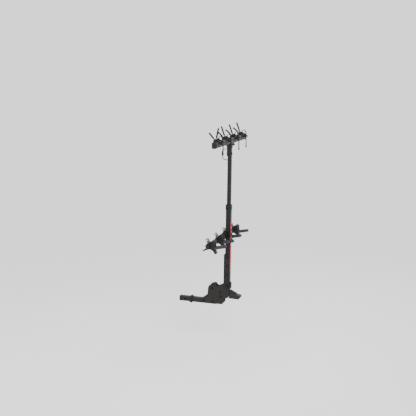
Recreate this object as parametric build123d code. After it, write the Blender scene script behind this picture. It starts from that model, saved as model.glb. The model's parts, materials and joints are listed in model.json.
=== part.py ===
from build123d import *
from math import atan2, cos, degrees, hypot, radians, sin, tan
import os

# Hitch mounted bike rack for four bikes that hang by their fork crowns, shown upright.
# Millimetres. +X points rearward, away from the vehicle, +Y to the vehicle's right, +Z up.
# Every sub-part is drawn about the mast's axis, with z = 0 at the tongue's centre line.
# save() then moves it so that the origin is the centre of the hitch pin hole.

# --- Driving dimensions ---
MAST_X = 448.0            # hitch pin hole to mast axis
TONGUE = 50.8             # 2 inch square tongue
TONGUE_WALL = 5.0
TONGUE_FRONT = -510.0
TONGUE_REAR = -110.0
COLLAR_FRONT = -396.0     # the collar's face that meets the receiver's mouth
PIN_HOLE_R = 8.35         # clears a 5/8 inch hitch pin
LOWER_TUBE = 50.8
LOWER_WALL = 3.2
LOWER_BOTTOM = 232.0
LOWER_TOP = 1008.0
UPPER_TUBE = 38.1
UPPER_WALL = 2.6
UPPER_BOTTOM = 760.0
UPPER_TOP = 1623.0
PLATE_INNER = 25.4        # half the gap between the base plates
PLATE_T = 6.0
PLATE_BOTTOM = -18.0
FLANGE_INNER = 32.0       # half the gap between the mast channel's flanges
FLANGE_T = 4.5
CHANNEL_TOP = 507.0
PIVOT_X, PIVOT_Z = 0.0, 178.0          # mast tilt axis
PEDAL_X, PEDAL_Z = -70.0, 106.0        # pedal axis
PIVOT_R = 8.0
PEDAL_R = 6.0
RUNNING = 0.05            # radial clearance of a shaft in its bush
LATCH_ANGLES = (0.0, 25.0)
INDEX_R = 46.0            # radius of the pivot block's notched rim
TONGUE_BOLTS = [(-245.0, 4.0), (-150.0, 0.0)]
SPACER_BOLTS = [(-65.0, 62.0), (-160.0, 140.0)]
TREAD_ENDS = ((31.0, 129.49), (94.0, 98.89))
BUMPER = (-133.0, 183.0)
BUMPER_R = 17.0
CHANNEL_BOLTS = (300.0, 390.0, 480.0)
COLLAR_SCREW_X, COLLAR_SCREW_Z = -8.0, 985.0
REFLECTOR_GROUPS = [(344.0, 35.5, 8, 27.0), (676.0, 46.5, 4, 31.0)]   # lowest z, pitch, count, height

BEAM_LENGTH = 1026.0
BEAM_DEPTH = 45.0
BEAM_HEIGHT = 56.0
BEAM_Z = 1657.0
BEAM_BOTTOM = BEAM_Z - BEAM_HEIGHT / 2
BEAM_TOP = BEAM_Z + BEAM_HEIGHT / 2
BRACKET_FRONT = -26.0
SLEEVE_BOLTS = (1530.0, 1597.0)
CLAMP_BOLT_Z = 1618.5
STATION_PITCH = 270.0
STATIONS = [STATION_PITCH * (k - 1.5) for k in range(4)]
HOOK_ROD_R = 6.0
SLEEVE_R = 8.5
WELD_BEAD_R = 7.5         # at the corners of each hook's foot
HOOK_HALF_GAP = 33.0      # each prong's distance from its station's centre
HOOK_BASE = (-26.0, 1707.0)
LOW_PRONG_BULGE = (-48.0, 1733.0)      # low prongs bow a little upwards, except the first
LOW_PRONG_TIP = (-76.0, 1751.0)
FIRST_LOW_PRONG_TIP = (-73.0, 1762.0)
FAR_PRONG_LENGTH = 96.0
FAR_PRONG_LEANS = (-11.0, 20.5, 20.5, 20.5)   # degrees towards the vehicle, one per station
SADDLE_TOP = 1699.0
HOOK_FOOT = [(0.0, 1704.0), (25.0, 1690.0), (58.0, 1668.0)]   # down behind the beam
STRAP_BUTTON_X = -14.0

CARRIER_Z = 722.0         # middle of the wheel beam's slider on the mast
WHEEL_BEAM_X, WHEEL_BEAM_Z = -73.0, 680.0
WHEEL_BEAM_R = 21.0
WHEEL_BEAM_LENGTH = 912.0
U_BOLT_Y = (-20.0, 20.0)
CRADLE_HALF = 31.0
STRAP_Z = 662.0
STRAP_TILT = 11.0
STRAP_HALF = 28.0
STRAP_T = 4.0
STRAP_H = 24.0
STRAP_LOOP_X = 73.0       # where each strap's round end begins
BUCKLE_X, BUCKLE_Z = -80.0, 716.0      # buckle lever's axis

CABLE_R = 4.0
CABLE_ROUTE = [
    (-26, 0, 1574), (-56, 0, 1574), (-76, -3, 1561), (-81, -6, 1530), (-79, -6, 1497),
    (-64, -3, 1473), (-45, 0, 1465), (-19.05, 0, 1465),
]

PARTS = {}


# --- Helpers ---
def block(x_low, x_high, y_low, y_high, z_low, z_high):
    """A box between two corners."""
    size = Box(x_high - x_low, y_high - y_low, z_high - z_low)
    return Pos((x_low + x_high) / 2, (y_low + y_high) / 2, (z_low + z_high) / 2) * size


def slab(outline, y_low, y_high):
    """A closed X-Z outline made solid between two Y planes."""
    face = make_face(Plane.XZ.offset(-y_low) * outline)
    return extrude(face, amount=y_high - y_low, dir=(0, 1, 0))


def polygon(points):
    """A closed outline with straight sides."""
    return Polyline(*points, close=True)


def polygon_xy(points, z_low, z_high):
    """A closed X-Y outline made solid between two heights."""
    face = make_face(Polyline(*points, close=True))
    return Pos(0, 0, z_low) * extrude(face, amount=z_high - z_low, dir=(0, 0, 1))


def rounded(points, radii):
    """A closed outline whose corners are rounded one by one; a radius of 0 keeps a corner sharp."""
    face = make_face(Polyline(*points, close=True))
    for point, radius in zip(points, radii):
        if radius:
            corner = face.vertices().sort_by_distance((point[0], point[1], 0))[0]
            face = fillet(corner, radius)
    return face.face().outer_wire()


def bar_y(x, z, radius, y_low, y_high):
    """A round bar along Y."""
    return Pos(x, (y_low + y_high) / 2, z) * Rot(90, 0, 0) * Cylinder(radius, y_high - y_low)


def bar_x(y, z, radius, x_low, x_high):
    """A round bar along X."""
    return Pos((x_low + x_high) / 2, y, z) * Rot(0, 90, 0) * Cylinder(radius, x_high - x_low)


def bar_z(x, y, radius, z_low, z_high):
    """A round bar along Z."""
    return Pos(x, y, (z_low + z_high) / 2) * Cylinder(radius, z_high - z_low)


def hexagon_y(x, z, across, y_low, y_high):
    """A bolt head or nut whose axis is along Y."""
    head = extrude(RegularPolygon(across / 2, 6, major_radius=False), amount=y_high - y_low)
    return Pos(x, y_high, z) * Rot(90, 0, 0) * head


def hexagon_x(y, z, across, x_low, x_high):
    """A bolt head or nut whose axis is along X."""
    head = extrude(RegularPolygon(across / 2, 6, major_radius=False), amount=x_high - x_low)
    return Pos(x_low, y, z) * Rot(0, 90, 0) * head


def square_tube(width, wall, z_low, z_high, corner=5.0):
    """An upright square tube with rounded corners."""
    outer = RectangleRounded(width, width, corner)
    inner = RectangleRounded(width - 2 * wall, width - 2 * wall, corner - wall * 0.6)
    return Pos(0, 0, z_low) * extrude(outer - inner, amount=z_high - z_low)


def bent_rod(points, radii, rod_radius):
    """A round rod along straight runs joined by tangent bends."""
    path = FilletPolyline(*points, radius=radii)
    start = Plane(origin=path @ 0, z_dir=path % 0)
    return sweep(start * Circle(rod_radius), path=path)


def save(name, shape):
    """Write one sub-part, moved so that the hitch pin hole is the origin."""
    PARTS[name] = shape
    export_step(Pos(MAST_X, 0, 0) * shape, "parts/" + name + ".step")


def group(solids):
    """Separate solids that share one node."""
    return Compound(children=[piece for solid in solids for piece in solid.solids()])


# --- Base ---
def tongue_tube():
    """Square tube that slides into the hitch receiver, with the hitch pin hole across it."""
    half = TONGUE / 2
    inner = half - TONGUE_WALL
    tube = block(TONGUE_FRONT, TONGUE_REAR, -half, half, -half, half)
    tube = fillet(tube.edges().filter_by(Axis.X), 4.0)
    tube -= block(TONGUE_FRONT, TONGUE_REAR, -inner, inner, -inner, inner)
    tube -= bar_y(-MAST_X, 0, PIN_HOLE_R, -half, half)
    for x, z in TONGUE_BOLTS:
        tube -= bar_y(x, z, 6.2, -half, half)
    return tube


def tongue_plug():
    """Plastic plug in the tongue's front end."""
    inner = TONGUE / 2 - TONGUE_WALL
    cap = block(TONGUE_FRONT - 3, TONGUE_FRONT, -24.0, 24.0, -24.0, 24.0)
    cap = fillet(cap.edges().filter_by(Axis.X), 4.0)
    body = block(TONGUE_FRONT, TONGUE_FRONT + 22, -inner, inner, -inner, inner)
    hollow = block(TONGUE_FRONT + 3, TONGUE_FRONT + 22, -inner + 3, inner - 3, -inner + 3, inner - 3)
    return cap + (body - hollow)


def tongue_collar():
    """Anti-rattle collar that bears on the receiver's mouth."""
    ring = block(COLLAR_FRONT, COLLAR_FRONT + 22.0, -35.0, 35.0, -35.0, 35.0)
    ring = fillet(ring.edges().filter_by(Axis.X), 7.0)
    ring = fillet(ring.edges().group_by(Axis.X)[-1], 2.0)
    half = TONGUE / 2
    tongue = block(COLLAR_FRONT - 5, COLLAR_FRONT + 30, -half, half, -half, half)
    return ring - fillet(tongue.edges().filter_by(Axis.X), 4.0)


def side_plate(y_low, y_high, hump_drop):
    """One laser-cut base plate: tongue flank, front hump, mast boss and an arc that clears the pedal."""
    arc_r = 95.5
    arc_low = (PEDAL_X + (arc_r**2 - (PEDAL_Z - 52.0) ** 2) ** 0.5, 52.0)
    arc_high = (PEDAL_X + (arc_r**2 - (129.0 - PEDAL_Z) ** 2) ** 0.5, 129.0)
    arc_mid = (PEDAL_X + arc_r * cos(radians(-6)), PEDAL_Z + arc_r * sin(radians(-6)))
    boss_r = 35.0
    boss_low = (PIVOT_X + boss_r * cos(radians(-30)), PIVOT_Z + boss_r * sin(radians(-30)))
    boss_top = (PIVOT_X + boss_r * cos(radians(42)), PIVOT_Z + boss_r * sin(radians(42)))
    boss_end = (PIVOT_X + boss_r * cos(radians(110)), PIVOT_Z + boss_r * sin(radians(110)))
    outline = [
        Line((-272, PLATE_BOTTOM), (-54, PLATE_BOTTOM)),
        ThreePointArc((-54, PLATE_BOTTOM), (-37, -7), (-30, 14)),
        Line((-30, 14), (-25, 32)),
        ThreePointArc((-25, 32), (-16, 46), arc_low),
        ThreePointArc(arc_low, arc_mid, arc_high),
        Line(arc_high, boss_low),
        ThreePointArc(boss_low, boss_top, boss_end),
        Line(boss_end, (-32, 212)),
        ThreePointArc((-32, 212), (-60, 187), (-88, 174)),
        ThreePointArc((-88, 174), (-99, 171), (-109, 172)),
        ThreePointArc((-109, 172), (-117, 191 - hump_drop / 2), (-134, 204 - hump_drop)),
        ThreePointArc((-134, 204 - hump_drop), (-145, 207 - hump_drop), (-156, 200 - hump_drop)),
        Line((-156, 200 - hump_drop), (-184, 173 - hump_drop / 4)),
        ThreePointArc((-184, 173 - hump_drop / 4), (-196, 155), (-201, 133)),
        Line((-201, 133), (-203, 92)),
        ThreePointArc((-203, 92), (-207, 76), (-220, 62)),
        Line((-220, 62), (-250, 38)),
        ThreePointArc((-250, 38), (-264, 27), (-272, 16)),
        Line((-272, 16), (-272, PLATE_BOTTOM)),
    ]
    plate = slab(Wire(outline), y_low, y_high)
    for x, z in TONGUE_BOLTS + SPACER_BOLTS:
        plate -= bar_y(x, z, 6.2, y_low, y_high)
    plate -= bar_y(PEDAL_X, PEDAL_Z, PEDAL_R, y_low, y_high)
    plate -= bar_y(PIVOT_X, PIVOT_Z, PIVOT_R, y_low, y_high)
    plate -= bar_y(BUMPER[0], BUMPER[1], 5.2, y_low, y_high)
    return plate


def base_spacers():
    """Tubes that hold the two plates apart where no tongue lies between them."""
    tubes = []
    for x, z in SPACER_BOLTS:
        tubes.append(bar_y(x, z, 10.0, -PLATE_INNER, PLATE_INNER) - bar_y(x, z, 6.2, -30, 30))
    return group(tubes)


def base_bolts():
    """Flange bolts with nuts through the plates, and the thin bolt through the bumper."""
    bolts = []
    outer = PLATE_INNER + PLATE_T
    for x, z in TONGUE_BOLTS + SPACER_BOLTS:
        bolt = bar_y(x, z, 6.0, -outer, outer + 10)
        bolt += bar_y(x, z, 12.0, -outer - 2, -outer)
        bolt += hexagon_y(x, z, 18.0, -outer - 8, -outer - 2)
        nut = hexagon_y(x, z, 18.0, outer, outer + 8) - bar_y(x, z, 6.0, outer, outer + 8)
        bolts += [bolt, nut]
    pin = bar_y(BUMPER[0], BUMPER[1], 5.0, -outer, outer)
    pin += bar_y(BUMPER[0], BUMPER[1], 9.0, -outer - 4, -outer)
    pin += bar_y(BUMPER[0], BUMPER[1], 9.0, outer, outer + 4)
    return group(bolts + [pin])


def travel_bumper():
    """Rubber roller between the plates, standing proud of the right plate's hump."""
    x, z = BUMPER
    roller = bar_y(x, z, BUMPER_R, -PLATE_INNER, PLATE_INNER)
    roller = chamfer(roller.edges().filter_by(GeomType.CIRCLE), 2.0)
    return roller - bar_y(x, z, 5.2, -PLATE_INNER, PLATE_INNER)


def base_cross_plate():
    """Stiffening plate that ties the side plates together behind the tongue."""
    plate = block(-104.0, -52.0, -PLATE_INNER, PLATE_INNER, -14.0, -8.0)
    return plate - bar_z(-78.0, 0.0, 9.0, -15.0, -7.0)


def pivot_bolt():
    """Mast pivot bolt with its washers and nut, running outside the channel's flanges."""
    outer = FLANGE_INNER + FLANGE_T + 0.5
    bolt = bar_y(PIVOT_X, PIVOT_Z, PIVOT_R, -outer, outer + 14)
    bolt += hexagon_y(PIVOT_X, PIVOT_Z, 24.0, -outer - 12, -outer - 2)
    bolt += bar_y(PIVOT_X, PIVOT_Z, 16.0, -outer - 2, -outer)
    nut = hexagon_y(PIVOT_X, PIVOT_Z, 24.0, outer + 2, outer + 12)
    nut += bar_y(PIVOT_X, PIVOT_Z, 16.0, outer, outer + 2)
    return group([bolt, nut - bar_y(PIVOT_X, PIVOT_Z, PIVOT_R, outer, outer + 12)])


def pedal_bolt():
    """Pedal pivot bolt with its nut."""
    outer = PLATE_INNER + PLATE_T
    bolt = bar_y(PEDAL_X, PEDAL_Z, PEDAL_R, -outer, outer + 10)
    bolt += hexagon_y(PEDAL_X, PEDAL_Z, 18.0, -outer - 7, -outer)
    nut = hexagon_y(PEDAL_X, PEDAL_Z, 18.0, outer, outer + 9)
    return group([bolt, nut - bar_y(PEDAL_X, PEDAL_Z, PEDAL_R, outer, outer + 9)])


# --- Pedal ---
def foot_pedal():
    """Folded steel pedal: two cheeks, a top, a front wall and two arms to the pedal bolt."""
    half = PLATE_INNER + PLATE_T
    front_r = 101.0
    low = (PEDAL_X + (front_r**2 - (PEDAL_Z - 53.0) ** 2) ** 0.5, 53.0)
    high = (PEDAL_X + (front_r**2 - (131.0 - PEDAL_Z) ** 2) ** 0.5, 131.0)
    mid = (PEDAL_X + front_r * cos(radians(-6)), PEDAL_Z + front_r * sin(radians(-6)))
    side = Wire([
        ThreePointArc(low, mid, high),
        Line(high, (96, 97.9)),
        Line((96, 97.9), (129, 91.5)),
        ThreePointArc((129, 91.5), (142.5, 80), (134, 60)),
        ThreePointArc((134, 60), (127, 53.5), (117, 51)),
        Line((117, 51), low),
    ])
    pedal = slab(side, -half, half)
    inside = Wire([
        Line((34, 40), (34, 121)),
        Line((34, 121), (94.5, 94.2)),
        Line((94.5, 94.2), (126, 87.5)),
        ThreePointArc((126, 87.5), (137.5, 79), (130, 62)),
        Line((130, 62), (124, 40)),
        Line((124, 40), (34, 40)),
    ])
    pedal -= slab(inside, -half + 4, half - 4)
    arm = polygon([(-66, 90), (36, 84), (36, 116), (-66, 122)])
    for y_low, y_high in ((-24.0, -18.0), (18.0, 24.0)):
        pedal += slab(arm, y_low, y_high)
        pedal += bar_y(PEDAL_X, PEDAL_Z, 17.0, y_low, y_high)
    pedal += block(-16.0, 16.0, -18.5, 18.5, 104.0, 110.0)
    return pedal - bar_y(PEDAL_X, PEDAL_Z, 10.0, -30, 30)


def pedal_tread():
    """Ribbed rubber pad on the pedal's sloping top."""
    high, low = TREAD_ENDS
    slope = degrees(atan2(high[1] - low[1], low[0] - high[0]))
    length = hypot(low[0] - high[0], high[1] - low[1])
    pad = block(0, length, -31.0, 31.0, 0, 3.0)
    for rib in range(8):
        start = 3.0 + rib * (length - 6.0) / 8
        pad += block(start, start + 4.5, -29.0, 29.0, 3.0, 6.0)
    return Pos(high[0], 0, high[1]) * Rot(0, slope, 0) * pad


def latch_tooth():
    """Hardened tooth on the pedal's bridge, just short of the pivot block's notch."""
    top = PIVOT_Z - INDEX_R - 1.0
    tooth = polygon([(-9, 110), (9, 110), (9, 118), (4, top), (-4, top), (-9, 118)])
    return slab(tooth, -16.0, 16.0)


def pedal_bush():
    """Plain bearing sleeve in the pedal's arms."""
    return bar_y(PEDAL_X, PEDAL_Z, 10.0, -25.0, 25.0) - bar_y(PEDAL_X, PEDAL_Z, PEDAL_R + RUNNING, -26, 26)


def pedal_spring():
    """Close-wound torsion spring round the bearing sleeve, with a leg up and a leg down."""
    wire_r = 1.75
    coil_r = 13.0
    pitch = 3.3
    turns = 7
    half = pitch * (turns - 1) / 2
    leg = (Align.CENTER, Align.CENTER, Align.MIN)
    spring = Pos(0, half, 0) * Cylinder(wire_r, 34, align=leg)
    spring += Pos(0, -half, 0) * Rot(180, 0, 0) * Cylinder(wire_r, 28, align=leg)
    spring = Pos(coil_r, 0, 0) * spring
    for turn in range(turns):
        spring += Pos(0, turn * pitch - half, 0) * Rot(90, 0, 0) * Torus(coil_r, wire_r)
    return Pos(PEDAL_X, 0, PEDAL_Z) * spring


# --- Lower mast ---
def lower_mast_tube():
    """Square lower mast tube with holes for the channel bolts."""
    tube = square_tube(LOWER_TUBE, LOWER_WALL, LOWER_BOTTOM, LOWER_TOP)
    for z in CHANNEL_BOLTS:
        tube -= bar_y(0, z, 5.2, -LOWER_TUBE / 2, LOWER_TUBE / 2)
    return tube


def mast_channel():
    """U-shaped channel: a front web, and two flanges that straddle the base plates."""
    outer = FLANGE_INNER + FLANGE_T
    web_bottom = 236.0
    flange = Wire([
        Line((-35, CHANNEL_TOP), (-35, 158)),
        ThreePointArc((-35, 158), (-7.5, 130.5), (20, 158)),
        Line((20, 158), (20, CHANNEL_TOP - 14)),
        ThreePointArc((20, CHANNEL_TOP - 14), (15.9, CHANNEL_TOP - 4.1), (6, CHANNEL_TOP)),
        Line((6, CHANNEL_TOP), (-35, CHANNEL_TOP)),
    ])
    channel = slab(flange, -outer, -FLANGE_INNER) + slab(flange, FLANGE_INNER, outer)
    channel += block(-35.0, -30.5, -outer, outer, web_bottom, CHANNEL_TOP)
    uprights = channel.edges().filter_by(Axis.Z).filter_by(lambda e: e.center().X < -34.9 and e.length > 200)
    channel = fillet(uprights, 3.5)
    for z in CHANNEL_BOLTS:
        channel -= bar_y(0, z, 5.2, -outer, outer)
    return channel - bar_y(PIVOT_X, PIVOT_Z, 11.0, -outer, outer)


def channel_spacers():
    """Rings between the lower mast tube and the channel's flanges."""
    rings = []
    for z in CHANNEL_BOLTS:
        for y_low, y_high in ((-FLANGE_INNER, -LOWER_TUBE / 2), (LOWER_TUBE / 2, FLANGE_INNER)):
            rings.append(bar_y(0, z, 12.0, y_low, y_high) - bar_y(0, z, 5.2, y_low, y_high))
    return group(rings)


def channel_bolts():
    """Bolts with nuts through the channel and the lower mast tube."""
    outer = FLANGE_INNER + FLANGE_T
    bolts = []
    for z in CHANNEL_BOLTS:
        bolt = bar_y(0, z, 5.0, -outer, outer + 8) + bar_y(0, z, 10.0, -outer - 2, -outer)
        bolt += hexagon_y(0, z, 15.0, -outer - 7, -outer - 2)
        nut = hexagon_y(0, z, 15.0, outer, outer + 7) - bar_y(0, z, 5.0, outer, outer + 7)
        bolts += [bolt, nut]
    return group(bolts)


def pivot_block():
    """Block that fills the mast's foot between the base plates, with latch notches in its rim."""
    half = 25.0
    side = LOWER_TUBE / 2
    foot = block(-side, side, -half, half, PIVOT_Z, LOWER_BOTTOM)
    rim = bar_y(PIVOT_X, PIVOT_Z, INDEX_R, -half, half)
    foot += rim & block(-side, side, -half, half, PIVOT_Z - INDEX_R, PIVOT_Z)
    for angle in LATCH_ANGLES:
        notch = block(-5.5, 5.5, -17.0, 17.0, -INDEX_R - 2, -INDEX_R + 8)
        foot -= Pos(PIVOT_X, 0, PIVOT_Z) * Rot(0, -angle, 0) * notch
    spigot_half = LOWER_TUBE / 2 - LOWER_WALL
    spigot = block(-spigot_half, spigot_half, -spigot_half, spigot_half, LOWER_BOTTOM, LOWER_BOTTOM + 34)
    spigot = fillet(spigot.edges().filter_by(Axis.Z), 3.2)
    return foot + spigot - bar_y(PIVOT_X, PIVOT_Z, 11.0, -half, half)


def pivot_bushes():
    """Bearing bushes on the pivot bolt: one in the block and one in each of the channel's flanges."""
    bushes = []
    flange_outer = FLANGE_INNER + FLANGE_T
    spans = [(-25.0, 25.0), (-flange_outer, -FLANGE_INNER), (FLANGE_INNER, flange_outer)]
    for y_low, y_high in spans:
        sleeve = bar_y(PIVOT_X, PIVOT_Z, 11.0, y_low, y_high)
        bushes.append(sleeve - bar_y(PIVOT_X, PIVOT_Z, PIVOT_R + RUNNING, y_low, y_high))
    return group(bushes)


def rear_pad():
    """Black rubber pad on the rear of the mast's foot."""
    pad = block(LOWER_TUBE / 2, 37.0, -24.0, 24.0, 154.0, 214.0)
    pad = fillet(pad.edges().filter_by(Axis.Y).group_by(Axis.X)[-1], 4.0)
    return fillet(pad.edges().group_by(Axis.X)[-1].filter_by(Axis.Z), 3.0)


def mast_collar():
    """Plastic collar on the lower mast's top that guides the upper mast."""
    half = 28.6
    collar = block(-half, half, -half, half, 964.0, 1017.0)
    collar = fillet(collar.edges().filter_by(Axis.Z), 7.0)
    collar = fillet(collar.edges().group_by(Axis.Z)[-1], 2.5)
    tube_half = LOWER_TUBE / 2
    seat = block(-tube_half, tube_half, -tube_half, tube_half, 960.0, LOWER_TOP)
    collar -= fillet(seat.edges().filter_by(Axis.Z), 5.0)
    guide = UPPER_TUBE / 2 + 0.4
    hole = block(-guide, guide, -guide, guide, 1000.0, 1020.0)
    collar -= fillet(hole.edges().filter_by(Axis.Z), 5.0)
    return collar - bar_y(COLLAR_SCREW_X, COLLAR_SCREW_Z, 3.0, -half, half)


def collar_screws():
    """Button-head screws that hold the collar to the lower mast tube."""
    screws = []
    for side in (-1, 1):
        screw = bar_y(0, 0, 6.5, 28.6, 31.6) + bar_y(0, 0, 3.0, 25.4, 28.6)
        screw -= hexagon_y(0, 0, 4.0, 29.6, 31.6)
        screws.append(Pos(COLLAR_SCREW_X, 0, COLLAR_SCREW_Z) * Rot(0, 0, 90 - 90 * side) * screw)
    return group(screws)


def reflectors():
    """Two groups of red reflective segments along the lower mast's rear face."""
    strips = []
    for z_low, pitch, count, height in REFLECTOR_GROUPS:
        for step in range(count):
            z = z_low + step * pitch
            strip = block(LOWER_TUBE / 2, LOWER_TUBE / 2 + 2.4, -20.0, 20.0, z, z + height)
            strip = fillet(strip.edges().filter_by(Axis.X), 4.0)
            strips.append(chamfer(strip.faces().sort_by(Axis.X)[-1].edges(), 0.8))
    return group(strips)


# --- Upper mast and head ---
def upper_mast_tube():
    """Square upper mast tube that telescopes in the lower one."""
    tube = square_tube(UPPER_TUBE, UPPER_WALL, UPPER_BOTTOM, UPPER_TOP)
    for z in SLEEVE_BOLTS:
        tube -= bar_x(0, z, 4.2, -UPPER_TUBE / 2, UPPER_TUBE / 2)
    return tube


def mast_glides():
    """Plastic glide sleeve on the upper mast's lower end, running inside the lower mast."""
    outer = LOWER_TUBE / 2 - LOWER_WALL - 0.35
    glide = block(-outer, outer, -outer, outer, UPPER_BOTTOM, UPPER_BOTTOM + 50)
    glide = fillet(glide.edges().filter_by(Axis.Z), 3.4)
    inner = UPPER_TUBE / 2
    hole = block(-inner, inner, -inner, inner, UPPER_BOTTOM, UPPER_BOTTOM + 50)
    return glide - fillet(hole.edges().filter_by(Axis.Z), 5.0)


def head_bracket():
    """Channel round the mast's top that widens into a forked seat for the top beam."""
    half = 24.5
    tube_half = UPPER_TUBE / 2
    sleeve = block(BRACKET_FRONT, 14.0, -half, half, 1504.0, 1610.0)
    sleeve = fillet(sleeve.edges().filter_by(Axis.Z).group_by(Axis.X)[0], 4.5)
    seat = block(-30.0, 30.0, -52.0, 52.0, 1608.0, 1664.0)
    corners = seat.edges().filter_by(Axis.X).group_by(Axis.Z)[0]
    seat = fillet(corners, 18.0)
    bracket = sleeve + seat
    bracket -= block(-BEAM_DEPTH / 2, BEAM_DEPTH / 2, -60, 60, BEAM_BOTTOM, 1670.0)
    bore = block(-tube_half, tube_half, -tube_half, tube_half, 1500.0, UPPER_TOP)
    bracket -= fillet(bore.edges().filter_by(Axis.Z), 5.0)
    for z in SLEEVE_BOLTS:
        bracket -= bar_x(0, z, 4.2, -half - 5, 0)
    for y in (-34.0, 34.0):
        bracket -= bar_x(y, CLAMP_BOLT_Z, 4.2, -30, 30)
    return bracket


def head_bolts():
    """Hex bolts through the bracket and the clamp bolts under the beam, heads to the rear."""
    bolts = []
    places = [(0.0, z, BRACKET_FRONT, UPPER_TUBE / 2) for z in SLEEVE_BOLTS]
    places += [(y, CLAMP_BOLT_Z, -30.0, 30.0) for y in (-34.0, 34.0)]
    for y, z, front, rear in places:
        bolt = bar_x(y, z, 4.0, front - 8, rear) + bar_x(y, z, 8.5, rear, rear + 2)
        bolt += hexagon_x(y, z, 13.0, rear + 2, rear + 9)
        nut = hexagon_x(y, z, 13.0, front - 7, front) - bar_x(y, z, 4.0, front - 7, front)
        bolts += [bolt, nut]
    return group(bolts)


def top_beam():
    """Hollow crossbar that carries the fork hooks."""
    outer = RectangleRounded(BEAM_DEPTH, BEAM_HEIGHT, 11.0)
    inner = RectangleRounded(BEAM_DEPTH - 6, BEAM_HEIGHT - 6, 8.0)
    section = Plane.XZ.offset(-BEAM_LENGTH / 2) * (outer - inner)
    return Pos(0, -BEAM_LENGTH, BEAM_Z) * extrude(section, amount=-BEAM_LENGTH)


def top_beam_caps():
    """Plastic caps over the top beam's two ends."""
    caps = []
    for side in (-1, 1):
        flange = extrude(Plane.XZ * RectangleRounded(BEAM_DEPTH + 3, BEAM_HEIGHT + 5, 12.5), amount=9.0)
        flange = fillet(flange.edges().group_by(Axis.Y)[0], 4.0)
        plug = extrude(Plane.XZ * RectangleRounded(BEAM_DEPTH - 6, BEAM_HEIGHT - 6, 8.0), amount=-18.0)
        cap = Pos(0, -BEAM_LENGTH / 2, BEAM_Z - 1) * flange + Pos(0, -BEAM_LENGTH / 2, BEAM_Z) * plug
        caps.append(Rot(0, 0, 90 + 90 * side) * cap)
    return group(caps)


def hook_saddles():
    """Steel saddle plates on the beam's top, one under each pair of prongs."""
    saddles = []
    for y in STATIONS:
        saddle = block(-34.0, 8.0, y - 44, y + 44, BEAM_TOP, SADDLE_TOP)
        saddle += block(-34.0, -BEAM_DEPTH / 2, y - 44, y + 44, BEAM_Z - 12, BEAM_TOP)
        for side in (-1, 1):
            saddle -= bar_saddle_cut(y + side * HOOK_HALF_GAP)
        saddle -= bar_z(STRAP_BUTTON_X, y, 4.0, SADDLE_TOP - 10, SADDLE_TOP + 1)
        corner_air = block(-BEAM_DEPTH / 2, -BEAM_DEPTH / 2 + 11, y - 50, y + 50, BEAM_TOP - 11, BEAM_TOP)
        saddles.append(saddle - corner_air)
    return group(saddles)


def low_prong(station):
    """The low prong's points, from its end to the saddle."""
    if station == 0:
        return [FIRST_LOW_PRONG_TIP, HOOK_BASE]
    return [LOW_PRONG_TIP, LOW_PRONG_BULGE, HOOK_BASE]


def high_prong(station):
    """The high prong's points, from its end to the saddle."""
    lean = radians(FAR_PRONG_LEANS[station])
    tip = (HOOK_BASE[0] - FAR_PRONG_LENGTH * sin(lean), HOOK_BASE[1] + FAR_PRONG_LENGTH * cos(lean))
    return [tip, HOOK_BASE]


def prongs(station):
    """Each prong's points and its Y, the low one on the left."""
    y = STATIONS[station]
    return [(low_prong(station), y - HOOK_HALF_GAP), (high_prong(station), y + HOOK_HALF_GAP)]


def bend_radii(count):
    """Bend radii for a prong of a number of points and its foot."""
    return ([60.0] if count == 3 else []) + [14.0, 14.0, 14.0]


def hook_rod(points, y, radius):
    """One prong and its foot as a single bent rod."""
    route = [(x, y, z) for x, z in points + HOOK_FOOT]
    return bent_rod(route, bend_radii(len(points)), radius)


def bar_saddle_cut(y):
    """Room for one hook rod across a saddle's top."""
    rod = hook_rod([(-80.0, HOOK_BASE[1] + 1.0), HOOK_BASE], y, HOOK_ROD_R)
    return rod + block(-40.0, 20.0, y - HOOK_ROD_R, y + HOOK_ROD_R, HOOK_BASE[1] - 2, HOOK_BASE[1] + 8)


def fork_hook(station):
    """One station's hook: two bent rods, a gusset under each foot, and a crossbar between the feet."""
    y = STATIONS[station]
    foot_x, foot_z = HOOK_FOOT[-1]
    hook = bar_y(foot_x, foot_z, 5.0, y - HOOK_HALF_GAP, y + HOOK_HALF_GAP)
    gusset = polygon([(23.5, 1688), (57, 1667), (54, 1660), (40, 1660), (23.5, 1668)])
    for points, rod_y in prongs(station):
        hook += hook_rod(points, rod_y, HOOK_ROD_R)
        hook += Pos(foot_x, rod_y, foot_z) * Sphere(WELD_BEAD_R)
        hook += slab(gusset, rod_y - 3, rod_y + 3)
    return hook


def prong_sleeve(points, y):
    """A rubber sleeve over one prong, with a domed end, that stops short of the saddle."""
    bend, base = points[-2], points[-1]
    run = hypot(bend[0] - base[0], bend[1] - base[1])
    share = 13.0 / run
    stop = (base[0] + (bend[0] - base[0]) * share, base[1] + (bend[1] - base[1]) * share)
    route = [(x, y, z) for x, z in points[:-1] + [stop]]
    if len(route) == 2:
        path = Line(*route)
    else:
        path = FilletPolyline(*route, radius=60.0)
    start = Plane(origin=path @ 0, z_dir=path % 0)
    sleeve = sweep(start * Circle(SLEEVE_R), path=path) + Pos(*route[0]) * Sphere(SLEEVE_R)
    return sleeve - sweep(start * Circle(HOOK_ROD_R), path=path)


def prong_sleeves():
    """The rubber sleeves of every prong."""
    sleeves = []
    for station in range(len(STATIONS)):
        sleeves += [prong_sleeve(points, y) for points, y in prongs(station)]
    return group(sleeves)


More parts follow.
